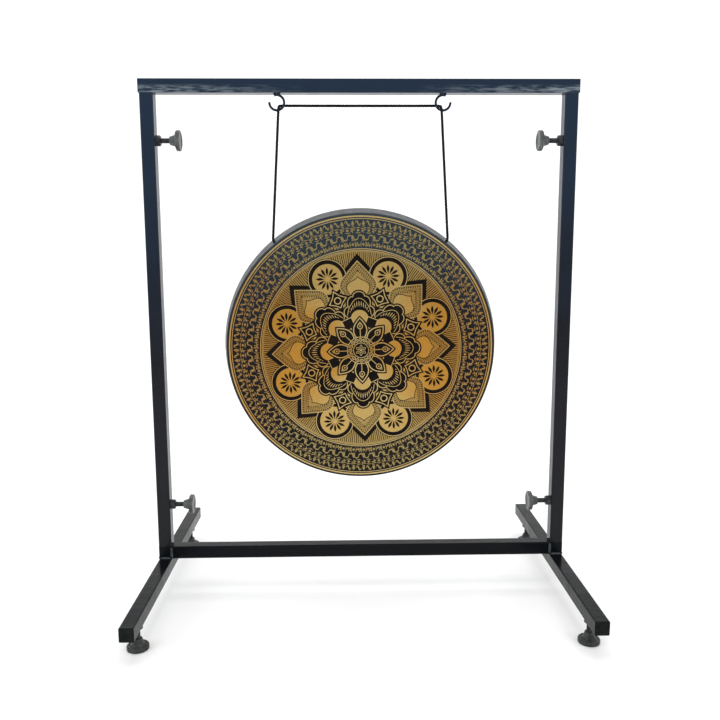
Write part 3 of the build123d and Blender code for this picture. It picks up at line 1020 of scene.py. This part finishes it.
def inner_petals(inlay):
    """Eight pointed petals, each with a stem and an eye."""
    def leaf(foot, tip, width, steps=14):
        side = []
        for i in range(steps + 1):
            t = i / steps
            side.append((tip + (foot - tip) * t, width * sin(pi * t) ** 0.92 if 0 < t < 1 else 0.0))
        return both_sides(side)[:-1]

    for put in spokes():
        inlay.fill(laid(put, leaf(0.050, 0.262, 0.063)), put(0.155, 0), "lacquer", 18, rings=2)
    for put in spokes():
        inlay.stroke(laid(put, leaf(0.060, 0.243, 0.0495)), 0.0078, "line", 19, closed=True)
        inlay.stroke([put(0.100, 0), put(0.158, 0)], 0.0055, "line", 19)
        inlay.ring(put(0.181, 0), 0.0185, 0.0060, "line", 19, steps=16)
        inlay.disc(put(0.181, 0), 0.0065, "line", 19, steps=8)
        inlay.stroke([put(0.198, 0.012), put(0.214, 0), put(0.198, -0.012)], 0.0045, "line", 19)


def heart_of_pattern(inlay):
    """The beaded ring and a plain rosette in the middle."""
    inlay.band(0.050, 0.104, "lacquer", 20, segments=96, rings=2)
    inlay.band(0.0985, 0.104, "line", 20.5, segments=96)
    inlay.band(0.054, 0.059, "line", 21.5, segments=72)
    for k in range(16):
        spot = polar(0.080, 2 * pi * k / 16 + PATTERN_TURN)
        inlay.ring(spot, 0.0118, 0.0052, "line", 21, steps=14)
        inlay.disc(spot, 0.0040, "line", 21, steps=8)
    inlay.disc((0, 0), 0.0525, "lacquer", 21, steps=40, rings=2)
    for k in range(6):
        way = spoke(pi / 2 + 2 * pi * k / 6)
        half = [(0.013 + 0.028 * t, 0.0085 * sin(pi * t)) for t in (1, 0.75, 0.5, 0.25, 0)]
        inlay.stroke(laid(way, both_sides(half)[1:]), 0.0036, "line", 22, closed=True)
    inlay.disc((0, 0), 0.0075, "line", 22, steps=12)


# A motif is a list of marks: (points, width) for a stroke, or (outline, None) for a solid shape.
MOTIF_SIZE = 0.042


def motif_scroll(put):
    return [([put(k / 8 - 0.5, 0.40 * sin(2 * pi * k / 8)) for k in range(9)], 0.0105)]


def motif_sprig(put):
    marks = [([put(t - 0.5, 0.10 * sin(pi * t)) for t in (0, 0.25, 0.5, 0.75, 1)], 0.0085)]
    for along, side in ((-0.22, 1), (0.0, -1), (0.20, 1), (0.34, -1)):
        leaf = [put(along + 0.16 * t, side * (0.06 + 0.34 * t)) for t in (0, 0.35, 0.7, 1)]
        marks.append((leaf, 0.0095))
    return marks


def motif_paisley(put):
    drop = []
    for k in range(10):
        a = 2 * pi * k / 10
        along = 0.34 * cos(a) * (1.35 if cos(a) > 0 else 1.0)
        drop.append(put(along, 0.24 * sin(a) * (1 - 0.5 * cos(a))))
    return [(drop, None), (laid(put, ((-0.50, -0.30), (-0.46, 0), (-0.50, 0.30))), 0.0080)]


def motif_lozenge(put):
    marks = [(laid(put, ((0.30, 0), (0, 0.30), (-0.30, 0), (0, -0.30))), None)]
    for side in (-0.50, 0.50):
        marks.append((laid(put, ((-0.50, side * 0.7), (0, side), (0.50, side * 0.7))), 0.0075))
    return marks


def motif_hooks(put):
    marks = []
    for side in (1, -1):
        bend = [(0.40 - 0.42 * cos(a), 0.02 + 0.40 * sin(a)) for a in (0.1, 0.8, 1.5, 2.2, 2.9)]
        marks.append(([put(side * out, side * across) for out, across in bend], 0.0105))
    return marks + [(laid(put, circle((0, 0), 0.12, 4)), None)]


def ornament_band(inlay):
    """Rows of sprigs, lozenges, scrolls and drops that repeat in turn round the outer band."""
    rows = (
        (0.783, 126, motif_sprig, motif_lozenge),
        (0.833, 134, motif_hooks, motif_paisley),
        (0.884, 142, motif_lozenge, motif_sprig),
        (0.935, 150, motif_scroll, motif_paisley),
    )
    for radius, count, *motifs in rows:
        for j in range(count):
            angle = 2 * pi * j / count
            at = polar(radius, angle)
            put = spoke(angle if j % 2 else angle + pi / 2, at, MOTIF_SIZE)
            for points, width in motifs[j % 2](put):
                if width:
                    inlay.stroke(points, width, "glyph", 2, taper=True)
                else:
                    inlay.fill(points, at, "glyph", 2, rings=1)


def add_pattern():
    inlay = Inlay(["gold", "amber", "line", "lacquer", "glyph"])
    for layer in (pattern_ground, flower_rounds, arches, kites, cloud_petals,
                  crescents_and_squares, inner_petals, heart_of_pattern, ornament_band):
        layer(inlay)
    pattern = inlay.build("gong_pattern")
    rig.ride(pattern, "gong")
    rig.slot(pattern, "gong_bronze")


# ---------------- the cord
CORD_DIAMETER = 0.0045
STRANDS, LAY_LENGTH = 3, 0.0155
STRAND_OFFSET, STRAND_RADIUS = 0.00120, 0.00145
CORD_STEP = 0.0011
# From the knot inside the rim, out through the hole, up the leg, over the hook and along the span.
CORD_HALF = [
    (0.15928, 0.0, 0.68372),
    (0.16440, 0.0, 0.69013),
    (0.16388, -0.0002, 0.69831),
    (0.15081, -0.0050, 0.90410),
    (0.14910, -0.0056, 0.93100),
    (0.14730, 0.0056, 0.93520),
    (0.12030, 0.0062, 0.93505),
]
KNOT_SCALE, KNOT_WEAVE, KNOT_CORD_RADIUS, KNOT_STEPS = 0.00135, 0.0017, 0.00195, 72
TAIL_START, TAIL_STEP, TAIL_LEAN, TAIL_RADIUS = 0.0025, 0.0016, 0.0005, 0.0020


def cord_centreline():
    """The smooth line of the cord, read from its spline."""
    route = CORD_HALF + [(-x, y, z) for x, y, z in reversed(CORD_HALF)]
    curve = bpy.data.curves.new("cord_line", "CURVE")
    curve.dimensions = "3D"
    spline = curve.splines.new("NURBS")
    spline.points.add(len(route) - 1)
    for point, place in zip(spline.points, route):
        point.co = (*place, 1)
    spline.order_u = 3
    spline.use_endpoint_u = True
    curve.resolution_u = 24
    holder = bpy.data.objects.new("cord_line", curve)
    mesh = bpy.data.meshes.new_from_object(holder)
    line = [v.co.copy() for v in mesh.vertices]
    bpy.data.batch_remove((holder, mesh, curve))
    return line


def evenly(line, step):
    """The same line with points about step apart, and its length."""
    found, length = stations(line, lambda length: ceil(length / step))
    return [line[i].lerp(line[i + 1], t) for i, t in found], length


def strand_line(path, step, phase):
    """One strand wound round the line of the cord."""
    strand = []
    for i, (p, normal, side) in enumerate(carried(path)):
        a = phase + 2 * pi * i * step / LAY_LENGTH
        strand.append(p + (normal * cos(a) + side * sin(a)) * STRAND_OFFSET)
    return strand


def add_cord():
    line = cord_centreline()
    path, length = evenly(line, CORD_STEP)
    step = length / (len(path) - 1)
    verts, faces = [], []
    for k in range(STRANDS):
        strand = strand_line(path, step, 2 * pi * k / STRANDS)
        add_rings(verts, faces, tube_rings(strand, STRAND_RADIUS, 8))
    cord = new_object("cord", verts, faces, [MATERIALS["cord"]], smooth=True)
    knots = [add_knot(side) for side in SIDES]
    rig.blend(cord, "top_frame", "suspension", start=(0, 0, 0.930), end=(0, 0, 0.905))
    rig.replaces(cord, "hanging_cord")
    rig.slot(cord, "cord_braid")
    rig.cord(
        cord, exit=path[0], length=length, diameter=CORD_DIAMETER, far_end="object",
        stiffness="limp", lay="taut", path=path, with_pieces=knots,
    )


def add_knot(side_name):
    """A stopper knot drawn up tight inside the rim, with its short tail."""
    low, high = map(Vector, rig.box(f"cord_knot_{side_name}"))
    centre = (low + high) / 2
    side = SIDES[side_name]
    out = Vector((side * sin(HOLE_ANGLE), 0, cos(HOLE_ANGLE)))
    across = Vector((0, 1, 0))
    along = out.cross(across)
    loop = []
    for i in range(KNOT_STEPS + 1):
        t = 2 * pi * i / KNOT_STEPS
        x = (sin(t) + 2 * sin(2 * t)) * KNOT_SCALE
        y = (cos(t) - 2 * cos(2 * t)) * KNOT_SCALE
        z = -sin(3 * t) * KNOT_WEAVE
        loop.append(centre + along * x + across * y + out * z)
    verts, faces = [], []
    add_rings(verts, faces, tube_rings(loop, KNOT_CORD_RADIUS, 10), capped=False)
    tail = [centre - out * (TAIL_START + TAIL_STEP * k) + across * (TAIL_LEAN * k) for k in range(6)]
    add_rings(verts, faces, tube_rings(tail, TAIL_RADIUS, 10))
    knot = new_object(f"knot_{side_name}", verts, faces, [MATERIALS["cord"]], smooth=True)
    dress(knot, f"cord_knot_{side_name}", "suspension", "cord_braid")
    return knot


# ---------------- screws, knobs and feet
STUD_RADIUS, PITCH, THREAD_DEPTH = 4.95, 1.5, 0.675  # millimetres
CHAMFER, CHAMFER_LENGTH = 0.7, 0.8
KNOB_PROFILE = [  # (radius, height above the disc's outer face), in millimetres
    (12.0, 0.6), (12.6, 0.0), (17.0, 0.0), (18.2, 0.35), (18.9, 1.4), (18.95, 3.1),
    (18.3, 3.7), (18.3, 4.1), (18.95, 4.6), (18.85, 6.4), (18.2, 7.5), (17.0, 7.95), (15.6, 7.9),
    (15.1, 7.2), (14.4, 7.2), (13.9, 7.95), (12.0, 8.1), (10.9, 9.0), (10.3, 10.6), (9.4, 13.8),
    (8.6, 16.6), (8.1, 18.6), (7.6, 19.6), (6.9, 19.95), (5.1, 19.95), (5.1, 8.2),
]


def axis_matrix(node, outward):
    """A frame at the outer end of a node, with local Z pointing back along its axis."""
    low, high = map(Vector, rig.box(node))
    outward = Vector(outward)
    reach = sum(abs(o) * (h - l) / 2 for o, h, l in zip(outward, high, low))
    turn = (-outward).to_track_quat("Z", "Y").to_matrix().to_4x4()
    return Matrix.Translation((low + high) / 2 + outward * reach) @ turn @ Matrix.Scale(MM, 4)


def add_knob(node, body, outward):
    """A turned disc with a grooved edge and a tapered hub."""
    place = axis_matrix(node, outward)
    verts, faces = lathe(rounded(KNOB_PROFILE), segments=72)
    verts = [place @ Vector(v) for v in verts]
    faces = [tuple(reversed(face)) for face in faces]
    plastic = MATERIALS["pad" if node.startswith("foot") else "knob"]
    knob = new_object(f"{node}_turned", verts, faces, [plastic], smooth=True)
    dress(knob, node, body, "knob_black")


def rounded(profile):
    """A profile with each corner cut off between two points near it."""
    finer = [profile[0]]
    for a, b in zip(profile, profile[1:]):
        finer += [(a[0] + (b[0] - a[0]) * t, a[1] + (b[1] - a[1]) * t) for t in (0.12, 0.88)]
    return finer + [profile[-1]]


def add_stud(node, body, outward):
    """A stud with its thread cut as a real helix, and a chamfer at both ends."""
    place = axis_matrix(node, outward)
    low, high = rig.box(node)
    length = max(h - l for h, l in zip(high, low)) / MM
    sides, per_pitch = 24, 6
    rows = int(length / PITCH * per_pitch)
    rings = []
    for i in range(rows + 1):
        height = length * i / rows
        ends = min(1.0, height / CHAMFER_LENGTH, (length - height) / CHAMFER_LENGTH)
        ring = []
        for j in range(sides):
            groove = abs(2 * ((height / PITCH - j / sides) % 1.0) - 1)
            radius = STUD_RADIUS - THREAD_DEPTH * groove - CHAMFER * (1 - ends)
            a = 2 * pi * j / sides
            ring.append(place @ Vector((radius * cos(a), radius * sin(a), height)))
        rings.append(ring)
    verts, faces = [], []
    add_rings(verts, faces, rings)
    stud = new_object(f"{node}_threaded", verts, faces, [MATERIALS["screw"]], smooth=True)
    dress(stud, node, body, "hardware_black")


def add_screws():
    for side_name, side in SIDES.items():
        for level in ("upper", "lower"):
            name = f"{level}_{side_name}"
            add_knob(f"clamp_knob_{name}", f"clamp_grip_{name}", (-side, 0, 0))
            add_stud(f"clamp_stud_{name}", f"clamp_screw_{name}", (-side, 0, 0))
        for end in ("front", "back"):
            name = f"{end}_{side_name}"
            add_knob(f"foot_pad_{name}", f"foot_disc_{name}", (0, 0, -1))
            add_stud(f"foot_stud_{name}", f"foot_screw_{name}", (0, 0, -1))


# ---------------- weld beads
BEAD_RADIUS, BEAD_STEP, BEAD_INSET, BEAD_GAP = 0.0030, 0.0007, 0.0006, 0.002


def add_bead(name, start, end, seed):
    """A hand-laid bead of overlapping ripples between two points."""
    start, end = Vector(start), Vector(end)
    chance = random.Random(seed)
    count = max(8, int((end - start).length / BEAD_STEP))
    waver = [1 + chance.uniform(-0.14, 0.14) for _ in range(count + 1)]

    def swell(i):
        ripple = 0.86 + 0.14 * abs(sin(pi * i / 3.0))
        ends = min(1.0, 0.35 + 1.2 * min(i, count - i) / count * 4)
        return waver[i] * ripple * ends

    path = [start.lerp(end, i / count) for i in range(count + 1)]
    verts, faces = [], []
    add_rings(verts, faces, tube_rings(path, BEAD_RADIUS, 12, swell))
    bead = new_object(name, verts, faces, [MATERIALS["weld"]], smooth=True)
    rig.ride(bead, "base")
    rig.slot(bead, "frame_paint")


def add_welds():
    """Beads where the crossbar meets its blocks, and the blocks meet the foot bars."""
    for side_name, side in SIDES.items():
        low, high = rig.box(f"post_block_{side_name}")
        left, right = low[0] + BEAD_GAP, high[0] - BEAD_GAP
        bottom, top = low[2] + BEAD_GAP, high[2] - BEAD_GAP
        seam, outer = (high[0], low[0] + BEAD_INSET) if side < 0 else (low[0], high[0] - BEAD_INSET)
        foot, depth = low[2] + BEAD_INSET, high[1] - BEAD_INSET
        edges = {
            "seam_front": ((seam, -depth, bottom), (seam, -depth, top)),
            "seam_back": ((seam, depth, bottom), (seam, depth, top)),
            "foot_front": ((left, -depth, foot), (right, -depth, foot)),
            "foot_back": ((left, depth, foot), (right, depth, foot)),
            "foot_outer": ((outer, -0.010, low[2]), (outer, 0.010, low[2])),
        }
        for k, (name, (start, end)) in enumerate(edges.items()):
            add_bead(f"weld_{name}_{side_name}", start, end, 20 * k + side)


# ---------------- the CAD pieces that stay
def paint_frame():
    looks = {"foot_cap": "cap", "rail_cap": "rail", "foot_nut": "screw", "clamp_nut": "screw",
             "top_rail": "rail", "foot_bar": "base", "crossbar": "base", "post_block": "base"}
    for name, thing in NODES.items():
        look = next((look for start, look in looks.items() if name.startswith(start)), "frame")
        material = MATERIALS[look]
        if not thing.material_slots:
            thing.data.materials.append(material)
        for slot in thing.material_slots:
            slot.material = material


add_camera()
add_lights()
add_floor()
make_materials()
paint_frame()
add_gong()
add_pattern()
add_cord()
add_screws()
add_welds()

sizes = {"cad": [list(p) for p in CAD_BOX], "visual": [list(p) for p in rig.bounds()]}
with open("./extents.json", "w") as out:
    json.dump(sizes, out)
